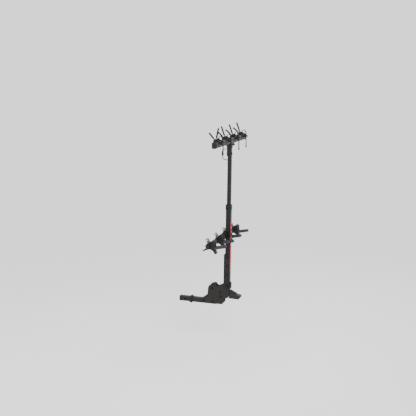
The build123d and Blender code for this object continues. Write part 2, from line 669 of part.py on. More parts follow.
def retaining_strap(y):
    """A rubber strap: flat on its saddle, over in an arc, then hanging behind the beam."""
    route = [(-26, 1701), (0, 1701), (14, 1728), (36, 1728), (50, 1696), (51.5, 1634), (53, 1567)]
    path = FilletPolyline(*[(x, y, z) for x, z in route], radius=[9.0, 10.0, 12.0, 20.0, 60.0])
    start = Plane(origin=path @ 0, x_dir=(0, 1, 0), z_dir=path % 0)
    strap = sweep(start * Rectangle(24.0, 4.0), path=path)
    strap += block(47.5, 58.5, y - 14.0, y + 14.0, 1556.0, 1572.0)
    return strap - bar_z(STRAP_BUTTON_X, y, 4.0, 1695, 1710)


def strap_buttons():
    """Headed buttons that the retaining straps are held by."""
    buttons = []
    for y in STATIONS:
        button = bar_z(STRAP_BUTTON_X, y, 4.0, SADDLE_TOP - 8, SADDLE_TOP + 4)
        button += bar_z(STRAP_BUTTON_X, y, 7.5, SADDLE_TOP + 4, SADDLE_TOP + 8)
        buttons.append(button)
    return group(buttons)


def cable_radii(points):
    """The largest tangent arcs that the cable's runs allow."""
    radii = []
    for before, corner, after in zip(points, points[1:], points[2:]):
        run_in = Vector(*corner) - Vector(*before)
        run_out = Vector(*after) - Vector(*corner)
        turn = radians(run_in.get_angle(run_out))
        radii.append(0.45 * min(run_in.length, run_out.length) / tan(turn / 2))
    return radii


def lock_cable():
    """Coated security cable whose two ends go into the head bracket and the mast."""
    radii = cable_radii(CABLE_ROUTE)
    print("lock cable radii", [round(radius, 1) for radius in radii])
    return bent_rod(CABLE_ROUTE, radii, CABLE_R)


def cable_grommets():
    """Rubber grommets round the cable's two exits."""
    rings = []
    for (x, y, z), tube_face in ((CABLE_ROUTE[0], BRACKET_FRONT), (CABLE_ROUTE[-1], -UPPER_TUBE / 2)):
        ring = bar_x(y, z, CABLE_R + 3.5, tube_face - 3.0, tube_face)
        rings.append(ring - bar_x(y, z, CABLE_R + 0.5, tube_face - 3.0, tube_face))
    return group(rings)


# --- Wheel carrier ---
def carrier_slider():
    """C-shaped slider on the lower mast, with a seat for the wheel beam in front."""
    inner = LOWER_TUBE / 2 + 0.4
    outer = 31.5
    slider = block(-outer, outer - 1, -outer, outer, 690.0, 754.0)
    slider = fillet(slider.edges().filter_by(Axis.Z), 5.0)
    slider -= block(-inner, inner, -inner, inner, 680.0, 760.0)
    slider -= block(20.0, 40.0, -21.5, 21.5, 680.0, 760.0)
    seat = polygon([(-28, 754), (-46, 748), (-66, 712), (-66, 648), (-46, 644), (-28, 690)])
    slider += slab(seat, -31.5, 31.5) - block(-inner, 40, -40, 40, 600, 800)
    slider -= bar_y(WHEEL_BEAM_X, WHEEL_BEAM_Z, WHEEL_BEAM_R, -40, 40)
    for y in U_BOLT_Y:
        for z in (WHEEL_BEAM_Z - 25.0, WHEEL_BEAM_Z + 25.0):
            slider -= bar_x(y, z, 4.2, -80.0, -28.0)
    return slider


def beam_u_bolts():
    """U-bolts that hold the wheel beam in its seat."""
    bolts = []
    x, z, leg = WHEEL_BEAM_X, WHEEL_BEAM_Z, 25.0
    for y in U_BOLT_Y:
        points = [(-44, y, z + leg), (x - leg, y, z + leg), (x - leg, y, z - leg), (-44, y, z - leg)]
        bolts.append(bent_rod(points, [24.9, 24.9], 4.0))
    return group(bolts)


def carrier_screws():
    """Set screws that clamp the slider to the mast."""
    screws = []
    for z in (706.0, 738.0):
        for side in (-1, 1):
            screw = bar_y(0, 0, 7.5, 31.5, 39.0) - hexagon_y(0, 0, 6.0, 34.0, 39.0)
            screws.append(Pos(0, 0, z) * Rot(0, 0, 90 - 90 * side) * screw)
    return group(screws)


def wheel_beam():
    """Round tube that carries the wheel cradles."""
    half = WHEEL_BEAM_LENGTH / 2
    tube = bar_y(WHEEL_BEAM_X, WHEEL_BEAM_Z, WHEEL_BEAM_R, -half, half)
    return tube - bar_y(WHEEL_BEAM_X, WHEEL_BEAM_Z, WHEEL_BEAM_R - 3, -half, half)


def wheel_beam_caps():
    """Plastic caps on the wheel beam's ends."""
    caps = []
    half = WHEEL_BEAM_LENGTH / 2
    for side in (-1, 1):
        cap = bar_y(0, 0, WHEEL_BEAM_R + 1, half, half + 8)
        cap = fillet(cap.edges().group_by(Axis.Y)[-1], 5.0)
        cap += bar_y(0, 0, WHEEL_BEAM_R - 3, half - 16, half)
        caps.append(Pos(WHEEL_BEAM_X, 0, WHEEL_BEAM_Z) * Rot(0, 0, 90 - 90 * side) * cap)
    return group(caps)


def strap_frame(y):
    """A wheel strap's own frame: x along its legs, y across, z across its width."""
    return Pos(0, y, STRAP_Z) * Rot(0, -STRAP_TILT, 0)


def strap_outline(spread, start):
    """A U-shaped outline whose half-width is spread, open end at start."""
    long_side = Pos((start + STRAP_LOOP_X) / 2, 0) * Rectangle(STRAP_LOOP_X - start, 2 * spread)
    return long_side + Pos(STRAP_LOOP_X, 0) * Circle(spread)


def wheel_strap(y):
    """A ladder strap drawn as a U round the wheel, its legs running into the cradle."""
    start = -38.0
    band = strap_outline(STRAP_HALF, start) - strap_outline(STRAP_HALF - STRAP_T, start - 5)
    return strap_frame(y) * Pos(0, 0, -STRAP_H / 2) * extrude(band, amount=STRAP_H)


def wheel_cradle(y):
    """A cradle that grips the beam: two wings with a V for the tyre, over a rib from lip to foot."""
    profile = rounded(
        [(-92, 694), (-28, 738), (-9, 723), (-5, 640), (-16, 627), (-44, 647), (-88, 650)],
        [6, 10, 8, 8, 6, 16, 6],
    )
    cradle = slab(profile, y - CRADLE_HALF, y + CRADLE_HALF)
    cradle -= polygon_xy([(-32, y - 3), (-32, y + 3), (8, y + 22), (8, y - 22)], 632, 780)
    rib = Wire([
        ThreePointArc((-131, 615), (-96, 634), (-62, 645)),
        ThreePointArc((-62, 645), (-32, 632), (-9, 600)),
        Line((-9, 600), (8, 606)),
        Line((8, 606), (-4, 640)),
        ThreePointArc((-4, 640), (-36, 657), (-70, 658)),
        ThreePointArc((-70, 658), (-104, 648), (-133, 627)),
        Line((-133, 627), (-131, 615)),
    ])
    cradle += slab(rib, y - 22, y + 22)
    cradle -= bar_y(WHEEL_BEAM_X, WHEEL_BEAM_Z, WHEEL_BEAM_R, y - 40, y + 40)
    slot_t = STRAP_T + 0.6
    for side in (-1, 1):
        middle = side * (STRAP_HALF - STRAP_T / 2)
        slot = block(-39.0, 60.0, middle - slot_t / 2, middle + slot_t / 2, -12.4, 12.4)
        cradle -= strap_frame(y) * slot
    return cradle


def buckle_bases():
    """Ratchet buckle frames on the cradles' sloping tops: a foot and two ears for the lever's pin."""
    bases = []
    slope = degrees(atan2(738 - 694, 92 - 28))
    ear = polygon([(-90, 697), (-66, 713), (-71, 722), (-80, 724), (-88, 716)])
    cradle_face = slab(polygon([(-92, 694), (-28, 738), (-28, 600), (-92, 600)]), -40, 40)
    for y in STATIONS:
        foot = block(-5, 36, -15.5, 15.5, 0.0, 4.0)
        foot = Pos(-92.0, 0, 694.0) * Rot(0, -slope, 0) * foot
        for y_low, y_high in ((-15.5, -12.5), (12.5, 15.5)):
            foot += slab(ear, y_low, y_high)
        foot -= bar_y(BUCKLE_X, BUCKLE_Z, 2.5, -16, 16)
        bases.append(Pos(0, y, 0) * (foot - cradle_face))
    return group(bases)


def buckle_pins():
    """Steel pins that the buckle levers turn on."""
    pins = []
    for y in STATIONS:
        pins.append(bar_y(BUCKLE_X, BUCKLE_Z, 2.5, y - 17.0, y + 17.0))
    return group(pins)


def buckle_lever(y):
    """A curled ratchet lever: a thumb curl above its hub on the pin."""
    half = 12.0
    centre_x, centre_z, outer_r, inner_r = -91.0, 731.0, 17.5, 8.0
    bore = bar_y(centre_x, centre_z, inner_r, -half, half)
    lever = bar_y(centre_x, centre_z, outer_r, -half, half)
    mouth = [(centre_x, centre_z), (centre_x - 30, centre_z - 2), (centre_x - 22, centre_z - 28)]
    lever -= slab(polygon(mouth), -half, half)
    lever += bar_y(BUCKLE_X, BUCKLE_Z, 6.5, -half, half)
    lever -= bore + bar_y(BUCKLE_X, BUCKLE_Z, 2.5 + RUNNING, -half, half)
    return Pos(0, y, 0) * lever


def main():
    os.makedirs("parts", exist_ok=True)
    outer = PLATE_INNER + PLATE_T
    save("tongue_tube", tongue_tube())
    save("tongue_plug", tongue_plug())
    save("tongue_collar", tongue_collar())
    save("side_plate_left", side_plate(-outer, -PLATE_INNER, 0.0))
    save("side_plate_right", side_plate(PLATE_INNER, outer, 12.0))
    save("base_spacers", base_spacers())
    save("base_bolts", base_bolts())
    save("base_cross_plate", base_cross_plate())
    save("travel_bumper", travel_bumper())
    save("pivot_bolt", pivot_bolt())
    save("pedal_bolt", pedal_bolt())
    save("foot_pedal", foot_pedal())
    save("pedal_tread", pedal_tread())
    save("latch_tooth", latch_tooth())
    save("pedal_bush", pedal_bush())
    save("pedal_spring", pedal_spring())
    save("lower_mast_tube", lower_mast_tube())
    save("mast_channel", mast_channel())
    save("channel_spacers", channel_spacers())
    save("channel_bolts", channel_bolts())
    save("pivot_block", pivot_block())
    save("pivot_bushes", pivot_bushes())
    save("rear_pad", rear_pad())
    save("mast_collar", mast_collar())
    save("collar_screws", collar_screws())
    save("reflectors", reflectors())
    save("upper_mast_tube", upper_mast_tube())
    save("mast_glides", mast_glides())
    save("head_bracket", head_bracket())
    save("head_bolts", head_bolts())
    save("top_beam", top_beam())
    save("top_beam_caps", top_beam_caps())
    save("hook_saddles", hook_saddles())
    save("prong_sleeves", prong_sleeves())
    save("retaining_straps", group([retaining_strap(y) for y in STATIONS]))
    save("strap_buttons", strap_buttons())
    save("lock_cable", lock_cable())
    save("cable_grommets", cable_grommets())
    save("carrier_slider", carrier_slider())
    save("beam_u_bolts", beam_u_bolts())
    save("carrier_screws", carrier_screws())
    save("wheel_beam", wheel_beam())
    save("wheel_beam_caps", wheel_beam_caps())
    save("wheel_straps", group([wheel_strap(y) for y in STATIONS]))
    save("buckle_bases", buckle_bases())
    save("buckle_pins", buckle_pins())
    for station, y in enumerate(STATIONS):
        number = str(station + 1)
        save("fork_hook_" + number, fork_hook(station))
        save("wheel_cradle_" + number, wheel_cradle(y))
        save("buckle_lever_" + number, buckle_lever(y))


main()
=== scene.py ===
import bisect
import json
import math

import bmesh
import bpy
from mathutils import Matrix, Vector


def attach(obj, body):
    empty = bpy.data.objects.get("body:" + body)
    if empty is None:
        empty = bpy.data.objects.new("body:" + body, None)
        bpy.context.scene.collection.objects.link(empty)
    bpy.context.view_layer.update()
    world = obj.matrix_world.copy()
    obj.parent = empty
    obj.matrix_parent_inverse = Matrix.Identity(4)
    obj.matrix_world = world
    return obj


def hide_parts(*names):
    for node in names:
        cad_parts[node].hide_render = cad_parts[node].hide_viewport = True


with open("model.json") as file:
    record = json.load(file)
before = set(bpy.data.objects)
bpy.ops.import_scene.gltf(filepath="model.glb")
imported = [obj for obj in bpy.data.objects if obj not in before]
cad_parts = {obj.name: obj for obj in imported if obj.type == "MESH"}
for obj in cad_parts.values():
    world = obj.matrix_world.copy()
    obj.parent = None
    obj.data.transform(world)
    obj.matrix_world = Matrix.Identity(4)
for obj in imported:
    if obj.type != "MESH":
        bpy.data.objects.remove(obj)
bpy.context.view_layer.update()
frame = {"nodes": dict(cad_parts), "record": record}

MAST_X = 0.448
STATIONS = [0.270 * (k - 1.5) for k in range(4)]

# --- Camera, light and floor ---
CAMERA_AZIMUTH = math.radians(17.98)
CAMERA_ELEVATION = math.radians(10.37)
CAMERA_ROLL = math.radians(0.74)
CAMERA_DISTANCE = 8.127
CAMERA_TARGET = Vector((MAST_X - 0.2205, 0.0, 0.9666))
CAMERA_LENS = 69.6
SENSOR_WIDTH = 36.0
FLOOR_Z = -0.46           # a pickup's receiver stands about this far above the ground
FLOOR_REACH = 12.0
FLOOR_FADE = (1.5, 5.0)   # the floor is solid up to the first distance and gone at the second
WORLD_STRENGTH = 1.5
LIGHT_AIM = (MAST_X, 0.0, 0.8)
LIGHTS = (
    ("key_light", (2.6, -3.4, 3.6), 2.4, 150.0),
    ("fill_light", (-3.2, -3.0, 2.0), 2.8, 60.0),
    ("rim_light", (2.4, 3.2, 2.8), 2.0, 60.0),
)


def add_camera():
    """The camera at the photograph's viewing angle, looking a little down and from the left rear."""
    sin_a, cos_a = math.sin(CAMERA_AZIMUTH), math.cos(CAMERA_AZIMUTH)
    sin_e, cos_e = math.sin(CAMERA_ELEVATION), math.cos(CAMERA_ELEVATION)
    back = Vector((sin_a * cos_e, -cos_a * cos_e, sin_e))
    level = Vector((cos_a, sin_a, 0.0))
    upright = Vector((-sin_a * sin_e, cos_a * sin_e, cos_e))
    right = level * math.cos(CAMERA_ROLL) + upright * math.sin(CAMERA_ROLL)
    up = upright * math.cos(CAMERA_ROLL) - level * math.sin(CAMERA_ROLL)
    camera = bpy.data.objects.new("camera", bpy.data.cameras.new("camera"))
    bpy.context.scene.collection.objects.link(camera)
    camera.data.lens = CAMERA_LENS
    camera.data.sensor_width = SENSOR_WIDTH
    camera.data.clip_start, camera.data.clip_end = 0.05, 200.0
    turn = Matrix((right, up, back)).transposed().to_4x4()
    camera.matrix_world = Matrix.Translation(CAMERA_TARGET + back * CAMERA_DISTANCE) @ turn
    bpy.context.scene.camera = camera


def add_area_light(name, place, size, power):
    """A square soft light that faces the rack."""
    light = bpy.data.objects.new(name, bpy.data.lights.new(name, "AREA"))
    bpy.context.scene.collection.objects.link(light)
    light.data.size = size
    light.data.energy = power
    light.location = place
    light.rotation_mode = "QUATERNION"
    light.rotation_quaternion = (Vector(LIGHT_AIM) - Vector(place)).to_track_quat("-Z", "Y")


def add_studio():
    """An even white surround and three soft lights."""
    world = bpy.data.worlds.new("studio")
    bpy.context.scene.world = world
    world.use_nodes = True
    background = world.node_tree.nodes["Background"]
    background.inputs["Color"].default_value = (1.0, 1.0, 1.0, 1.0)
    background.inputs["Strength"].default_value = WORLD_STRENGTH
    for name, place, size, power in LIGHTS:
        add_area_light(name, place, size, power)


def add_floor():
    """A pale floor that fades out with distance, into the surround."""
    mesh = bpy.data.meshes.new("floor")
    signs = ((-1, -1), (1, -1), (1, 1), (-1, 1))
    corners = [(x * FLOOR_REACH, y * FLOOR_REACH, FLOOR_Z) for x, y in signs]
    mesh.from_pydata(corners, [], [(0, 1, 2, 3)])
    floor = bpy.data.objects.new("floor", mesh)
    bpy.context.scene.collection.objects.link(floor)
    look = Look("floor_paint", specular=0.1)
    look.shader.inputs["Roughness"].default_value = 0.9
    distance = look.node("ShaderNodeVectorMath")
    distance.operation = "LENGTH"
    look.link(look.place, distance.inputs[0])
    fade = look.node("ShaderNodeMapRange")
    fade.inputs["From Min"].default_value, fade.inputs["From Max"].default_value = FLOOR_FADE
    fade.inputs["To Min"].default_value, fade.inputs["To Max"].default_value = 1.0, 0.0
    look.link(distance.outputs["Value"], fade.inputs["Value"])
    look.link(fade.outputs["Result"], look.shader.inputs["Alpha"])
    look.colour(look.ramp(look.noise(0.8, 2.0), [(0.3, 0.90), (0.7, 0.92)]))
    mesh.materials.append(look.material)


# --- Materials ---
def tone(colour, gain):
    """A colour made lighter or darker."""
    return tuple(min(1.0, channel * gain) for channel in colour)


class Look:
    """A procedural material built up in steps round one Principled shader."""

    def __init__(self, name, metallic=0.0, coat=0.0, sheen=0.0, specular=0.5):
        self.material = bpy.data.materials.new(name)
        self.material.use_nodes = True
        self.tree = self.material.node_tree
        self.shader = self.tree.nodes["Principled BSDF"]
        self.shader.inputs["Metallic"].default_value = metallic
        self.shader.inputs["Coat Weight"].default_value = coat
        self.shader.inputs["Coat Roughness"].default_value = 0.25
        self.shader.inputs["Sheen Weight"].default_value = sheen
        self.shader.inputs["Specular IOR Level"].default_value = specular
        self.place = self.tree.nodes.new("ShaderNodeTexCoord").outputs["Object"]
        self.height = None

    def node(self, kind, **values):
        """Adds a node and sets its named inputs."""
        made = self.tree.nodes.new(kind)
        for key, value in values.items():
            made.inputs[key.replace("_", " ")].default_value = value
        return made

    def link(self, source, target):
        self.tree.links.new(source, target)

    def noise(self, scale, detail=4.0, rough=0.6, stretch=None):
        """Fractal noise over the object, optionally drawn out along an axis."""
        noise = self.node("ShaderNodeTexNoise", Scale=scale, Detail=detail, Roughness=rough)
        place = self.place
        if stretch:
            mapping = self.node("ShaderNodeMapping", Scale=stretch)
            self.link(place, mapping.inputs["Vector"])
            place = mapping.outputs["Vector"]
        self.link(place, noise.inputs["Vector"])
        return noise.outputs["Fac"]

    def ramp(self, source, stops):
        """Colours (or greys) at positions along a 0 to 1 value."""
        ramp = self.tree.nodes.new("ShaderNodeValToRGB")
        ramp.color_ramp.elements[0].position = stops[0][0]
        ramp.color_ramp.elements[1].position = stops[-1][0]
        for position, _ in stops[1:-1]:
            ramp.color_ramp.elements.new(position)
        for element, (_, colour) in zip(ramp.color_ramp.elements, stops):
            grey = isinstance(colour, float)
            element.color = (colour, colour, colour, 1.0) if grey else (*colour, 1.0)
        self.link(source, ramp.inputs["Fac"])
        return ramp.outputs["Color"]

    def mix(self, factor, first, second):
        """first where factor is 0, second where it is 1; either may be a colour."""
        mix = self.tree.nodes.new("ShaderNodeMix")
        mix.data_type = "RGBA"
        self.link(factor, mix.inputs["Factor"])
        for socket, value in ((mix.inputs["A"], first), (mix.inputs["B"], second)):
            if isinstance(value, tuple):
                socket.default_value = (*value, 1.0)
            else:
                self.link(value, socket)
        return mix.outputs["Result"]

    def colour(self, source):
        self.link(source, self.shader.inputs["Base Color"])
        return self

    def roughness(self, source, low, high):
        """Roughness that varies between two values."""
        span = self.node("ShaderNodeMapRange")
        span.inputs["To Min"].default_value = low
        span.inputs["To Max"].default_value = high
        self.link(source, span.inputs["Value"])
        self.link(span.outputs["Result"], self.shader.inputs["Roughness"])
        return self

    def bump(self, source, depth, strength=0.6):
        """Adds surface relief of a depth in metres, over any already there."""
        bump = self.node("ShaderNodeBump", Strength=strength, Distance=depth)
        self.link(source, bump.inputs["Height"])
        if self.height:
            self.link(self.height, bump.inputs["Normal"])
        self.height = bump.outputs["Normal"]
        self.link(self.height, self.shader.inputs["Normal"])
        return self


def powder_coat(name, colour, wear=(0.10, 0.095, 0.09)):
    """Textured powder coat: pebbled grain, faint cloudiness, a few scuffs along the work."""
    look = Look(name, specular=0.22)
    cloud = look.ramp(look.noise(6.0, 3.0), [(0.3, tone(colour, 0.86)), (0.7, tone(colour, 1.16))])
    scuffs = look.ramp(look.noise(90.0, 6.0, 0.75, (1.0, 1.0, 0.25)), [(0.69, 0.0), (0.78, 0.35)])
    look.colour(look.mix(scuffs, cloud, wear))
    grain = look.noise(1300.0, 2.0, 0.5)
    look.roughness(look.noise(40.0, 5.0), 0.40, 0.58)
    return look.bump(grain, 0.00016, 0.5).bump(look.noise(260.0, 3.0), 0.00010, 0.4).material


def moulded_plastic(name, colour, gloss=(0.42, 0.6), grain=900.0, specular=0.25):
    """Moulded plastic with a spark-eroded grain, faint flow marks and finger-worn patches."""
    look = Look(name, specular=specular)
    marks = look.noise(22.0, 4.0, 0.6, (1.0, 0.35, 1.0))
    flow = look.ramp(marks, [(0.3, tone(colour, 0.88)), (0.72, tone(colour, 1.14))])
    worn = look.ramp(look.noise(70.0, 5.0, 0.7), [(0.66, 0.0), (0.8, 0.25)])
    look.colour(look.mix(worn, flow, tone(colour, 1.5)))
    look.roughness(look.noise(55.0, 4.0), *gloss)
    return look.bump(look.noise(grain, 2.0, 0.5), 0.00012, 0.45).material


def moulded_rubber(name, colour):
    """Rubber with a dusty bloom in patches and a fine pitted skin."""
    look = Look(name, sheen=0.03, specular=0.2)
    bloom = look.ramp(look.noise(35.0, 5.0, 0.65), [(0.42, 0.0), (0.75, 0.4)])
    skin = look.ramp(look.noise(180.0, 3.0), [(0.3, tone(colour, 0.85)), (0.7, tone(colour, 1.15))])
    look.colour(look.mix(bloom, skin, tone(colour, 1.8)))
    look.roughness(look.noise(80.0, 4.0), 0.58, 0.8)
    return look.bump(look.noise(700.0, 4.0, 0.6), 0.00018, 0.5).material


def plated_steel(name, colour, gloss=(0.28, 0.48)):
    """Zinc-plated steel: spangled tint, drawn micro-scratches and a little dark staining."""
    look = Look(name, metallic=1.0)
    cells = look.node("ShaderNodeTexVoronoi", Scale=420.0)
    look.link(look.place, cells.inputs["Vector"])
    spangle = look.ramp(cells.outputs["Distance"], [(0.0, tone(colour, 0.8)), (0.6, tone(colour, 1.25))])
    stain = look.ramp(look.noise(120.0, 5.0, 0.7), [(0.55, 0.0), (0.75, 0.55)])
    look.colour(look.mix(stain, spangle, tone(colour, 0.45)))
    look.roughness(look.noise(150.0, 4.0), *gloss)
    return look.bump(look.noise(900.0, 3.0, 0.6, (1.0, 0.1, 1.0)), 0.00005, 0.4).material


def reflector_prisms(name, colour):
    """Red reflector: a honeycomb of prisms under a clear skin."""
    look = Look(name, specular=0.12)
    cells = look.node("ShaderNodeTexVoronoi", Scale=520.0)
    cells.feature = "DISTANCE_TO_EDGE"
    look.link(look.place, cells.inputs["Vector"])
    edge = look.ramp(cells.outputs["Distance"], [(0.0, tone(colour, 0.45)), (0.12, colour)])
    glow = look.ramp(look.noise(60.0, 2.0), [(0.35, 0.0), (0.7, 0.35)])
    look.colour(look.mix(glow, edge, (0.55, 0.004, 0.008)))
    look.roughness(look.noise(200.0, 2.0), 0.18, 0.32)
    return look.bump(cells.outputs["Distance"], 0.0004, 0.6).material


def cable_vinyl(name, colour):
    """Vinyl over a wound steel rope, whose lay shows faintly through the sheath."""
    look = Look(name, coat=0.15, specular=0.3)
    wave = look.node("ShaderNodeTexWave", Scale=95.0, Distortion=1.2, Detail=2.0)
    wave.bands_direction = "DIAGONAL"
    look.link(look.place, wave.inputs["Vector"])
    strands = look.ramp(wave.outputs["Fac"], [(0.2, tone(colour, 0.7)), (0.7, tone(colour, 1.5))])
    look.colour(look.mix(look.noise(60.0), strands, tone(colour, 1.2)))
    look.roughness(look.noise(90.0), 0.28, 0.45)
    return look.bump(wave.outputs["Fac"], 0.0002, 0.5).material


SATIN = (0.3, 0.45)
LOOKS = {
    "base_paint": powder_coat("base_powder_coat", (0.0115, 0.0098, 0.0094)),
    "mast_paint": powder_coat("mast_powder_coat", (0.0085, 0.0080, 0.0088)),
    "hook_paint": powder_coat("hook_powder_coat", (0.010, 0.0096, 0.011)),
    "black_plastic": moulded_plastic("black_moulded_plastic", (0.0060, 0.0060, 0.0066)),
    "black_rubber": moulded_rubber("black_rubber", (0.0036, 0.0036, 0.0040)),
    "hook_rubber": moulded_rubber("hook_rubber", (0.014, 0.0125, 0.016)),
    "strap_plastic": moulded_plastic("strap_plastic", (0.034, 0.030, 0.041), SATIN, 700.0, 0.35),
    "buckle_plastic": moulded_plastic("buckle_plastic", (0.090, 0.082, 0.112), SATIN, 600.0, 0.4),
    "cable_sheath": cable_vinyl("cable_vinyl", (0.012, 0.011, 0.013)),
    "red_reflector": reflector_prisms("red_reflector_prisms", (0.42, 0.0008, 0.004)),
    "zinc_steel": plated_steel("black_zinc_steel", (0.020, 0.0195, 0.019)),
    "bronze": plated_steel("sintered_bronze", (0.20, 0.12, 0.055)),
}


def dress_frame():
    """Gives every CAD node its slot's procedural material."""
    slots = {entry["node"]: entry["material_slot"] for entry in frame["record"]["subparts"]}
    for name, piece in frame["nodes"].items():
        for slot in piece.material_slots:
            slot.material = LOOKS[slots[name]]
        if not piece.material_slots:
            piece.data.materials.append(LOOKS[slots[name]])


# --- Lines and skins ---
def nurbs_curve(name, points):
    """A curve with one open NURBS spline that starts and ends at its end points."""
    curve = bpy.data.curves.new(name, "CURVE")
    curve.dimensions = "3D"
    spline = curve.splines.new("NURBS")
    spline.points.add(len(points) - 1)
    for knot, point in zip(spline.points, points):
        knot.co = (*point, 1.0)
    spline.order_u = 3
    spline.use_endpoint_u = True
    spline.resolution_u = 16
    return curve


def smooth_line(points):
    """Points along the NURBS spline through a run of control points."""
    curve = nurbs_curve("line", points)
    holder = bpy.data.objects.new("line", curve)
    mesh = bpy.data.meshes.new_from_object(holder)
    line = [vertex.co.copy() for vertex in mesh.vertices]
    bpy.data.objects.remove(holder)
    bpy.data.curves.remove(curve)
    bpy.data.meshes.remove(mesh)
    return line


class Walk:
    """Places and directions by distance along a line of points."""

    def __init__(self, line):
        self.line = line
        self.marks = [0.0]
        for start, end in zip(line, line[1:]):
            self.marks.append(self.marks[-1] + (end - start).length)
        self.length = self.marks[-1]

    def at(self, distance):
        distance = min(max(distance, 0.0), self.length)
        index = min(bisect.bisect_right(self.marks, distance) - 1, len(self.line) - 2)
        run = self.marks[index + 1] - self.marks[index]
        share = (distance - self.marks[index]) / run if run else 0.0
        return self.line[index].lerp(self.line[index + 1], share)

    def direction(self, distance, reach=0.002):
        return (self.at(distance + reach) - self.at(distance - reach)).normalized()


def sweep(mesh, walk, marks, cross, across):
    """Skins rings at distances along a walk; cross gives each ring as (over, out) pairs."""
    rings = []
    for mark in marks:
        place, ahead = walk.at(mark), walk.direction(mark)
        out = ahead.cross(across).normalized()
        rings.append([mesh.verts.new(place + across * over + out * up) for over, up in cross(mark)])
    for ring, following in zip(rings, rings[1:]):
        for index in range(len(ring)):
            mesh.faces.new((ring[index - 1], ring[index], following[index], following[index - 1]))
    mesh.faces.new(rings[0])
    mesh.faces.new(list(reversed(rings[-1])))


def add_piece(name, mesh, body, slot, nodes, crease=34.0):
    """Makes a piece from a bmesh, rides it on its body and has it stand for its CAD nodes."""
    bmesh.ops.recalc_face_normals(mesh, faces=mesh.faces)
    data = bpy.data.meshes.new(name)
    mesh.to_mesh(data)
    mesh.free()
    data.polygons.foreach_set("use_smooth", [True] * len(data.polygons))
    data.set_sharp_from_angle(angle=math.radians(crease))
    data.materials.append(LOOKS[slot])
    piece = bpy.data.objects.new(name, data)
    bpy.context.scene.collection.objects.link(piece)
    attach(piece, body)
    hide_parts(*nodes)
    return piece


def circle(radius, count=24):
    """A round cross-section."""
    turns = [2.0 * math.pi * step / count for step in range(count)]
    return [(radius * math.cos(turn), radius * math.sin(turn)) for turn in turns]


def strap_cross(half, thick, level, rail=0.0035):
    """A strap's cross-section: rounded edges, a rail along each, and a floor between at a level."""
    top = thick / 2
    soft, slope = 0.0007, 0.0006
    left = [(-half + rail + slope, level), (-half + rail, top), (-half + soft, top), (-half, top - soft),
            (-half, -top + soft), (-half + soft, -top)]
    return left + [(-over, up) for over, up in reversed(left)]


def toggled(start, stop, pitch, width, slope=0.0004):
    """Marks for raised ribs, and a function that says whether a distance is on top of one."""
    marks = [0.0]
    tops = []
    while start + width <= stop:
        marks += [start, start + slope, start + width - slope, start + width]
        tops.append((start + slope / 2, start + width - slope / 2))
        start += pitch
    return marks, lambda mark: any(low < mark < high for low, high in tops)


def groove(start, slope, floor, radius, depth):
    """Rings of a groove round a bar: down its slope, along its floor and up again."""
    return [(start, radius), (start + slope, radius - depth), (start + slope + floor, radius - depth),
            (start + 2 * slope + floor, radius)]


# --- Rubber, straps and cable: lengths in metres, places about the mast's axis in millimetres ---
ACROSS = Vector((0.0, 1.0, 0.0))
AHEAD = Vector((1.0, 0.0, 0.0))
STRAP_TILT = math.radians(11.0)
STRAP_HEIGHT = 662.0
STRAP_START, STRAP_BEND, STRAP_REACH = -0.038, 0.073, 0.026
STRAP_HALF, STRAP_THICK = 0.012, 0.004
TOOTH_PITCH, TOOTH_WIDTH = 0.0046, 0.0026
TOOTHLESS = 0.048         # plain stretch at each end of a ladder strap
PRONG_FOOT = Vector((-26.0, 1707.0))
PRONG_LENGTH = 96.0
PRONG_SIDE = 33.0
PRONG_BARE = 13.0         # rod left bare between a sleeve and its foot
SLEEVE_RADIUS = 0.0085
BAND_HALF, BAND_THICK, BAND_RAIL = 0.012, 0.0044, 0.0035
BAND_ROOT = 0.030         # solid stretch at the strap's fixed end
TAB_LENGTH, TAB_HALF = 0.016, 0.0138
BUMPER_X, BUMPER_Z = -133.0, 183.0
BUMPER_HALF, BUMPER_RADIUS, BUMPER_END = 0.0254, 0.017, 0.0145


def mast_point(x, y, z):
    """A point from millimetres about the mast's axis."""
    return Vector((MAST_X + x / 1000.0, y / 1000.0, z / 1000.0))


def wheel_straps():
    """Ladder straps: a toothed band between two rails, in a U round each wheel."""
    mesh = bmesh.new()
    ahead = Vector((math.cos(STRAP_TILT), 0.0, math.sin(STRAP_TILT)))
    up = Vector((-math.sin(STRAP_TILT), 0.0, math.cos(STRAP_TILT)))
    steps = 24
    for y in STATIONS:
        origin = mast_point(0, y * 1000, STRAP_HEIGHT)
        outline = [(STRAP_START, -STRAP_REACH), (STRAP_BEND, -STRAP_REACH)]
        for step in range(1, steps):
            turn = math.pi * step / steps - math.pi / 2
            outline.append((STRAP_BEND + STRAP_REACH * math.cos(turn), STRAP_REACH * math.sin(turn)))
        outline += [(STRAP_BEND, STRAP_REACH), (STRAP_START, STRAP_REACH)]
        walk = Walk([origin + ahead * x + ACROSS * side for x, side in outline])
        marks, on_top = toggled(TOOTHLESS, walk.length - TOOTHLESS, TOOTH_PITCH, TOOTH_WIDTH)
        marks.append(walk.length)

        def cross(mark):
            return strap_cross(STRAP_HALF, STRAP_THICK, 0.0022 if on_top(mark) else 0.0006)

        sweep(mesh, walk, marks, cross, up)
    add_piece("wheel_strap_ladders", mesh, "wheel_carrier", "strap_plastic", ["wheel_straps"])


def prong_routes(station):
    """The low and high prong of a fork hook: its side, and its line in X and Z from the tip."""
    first = station == 0
    lean = math.radians(-11.0 if first else 20.5)
    high = PRONG_FOOT + Vector((-math.sin(lean), math.cos(lean))) * PRONG_LENGTH
    low = Vector((-73.0, 1762.0)) if first else Vector((-76.0, 1751.0))
    bulge = PRONG_FOOT.lerp(low, 0.5) if first else Vector((-48.0, 1733.0))
    return [
        (-PRONG_SIDE, [low, low.lerp(bulge, 0.65), bulge, bulge.lerp(PRONG_FOOT, 0.3)]),
        (PRONG_SIDE, [high, high.lerp(PRONG_FOOT, 0.5)]),
    ]


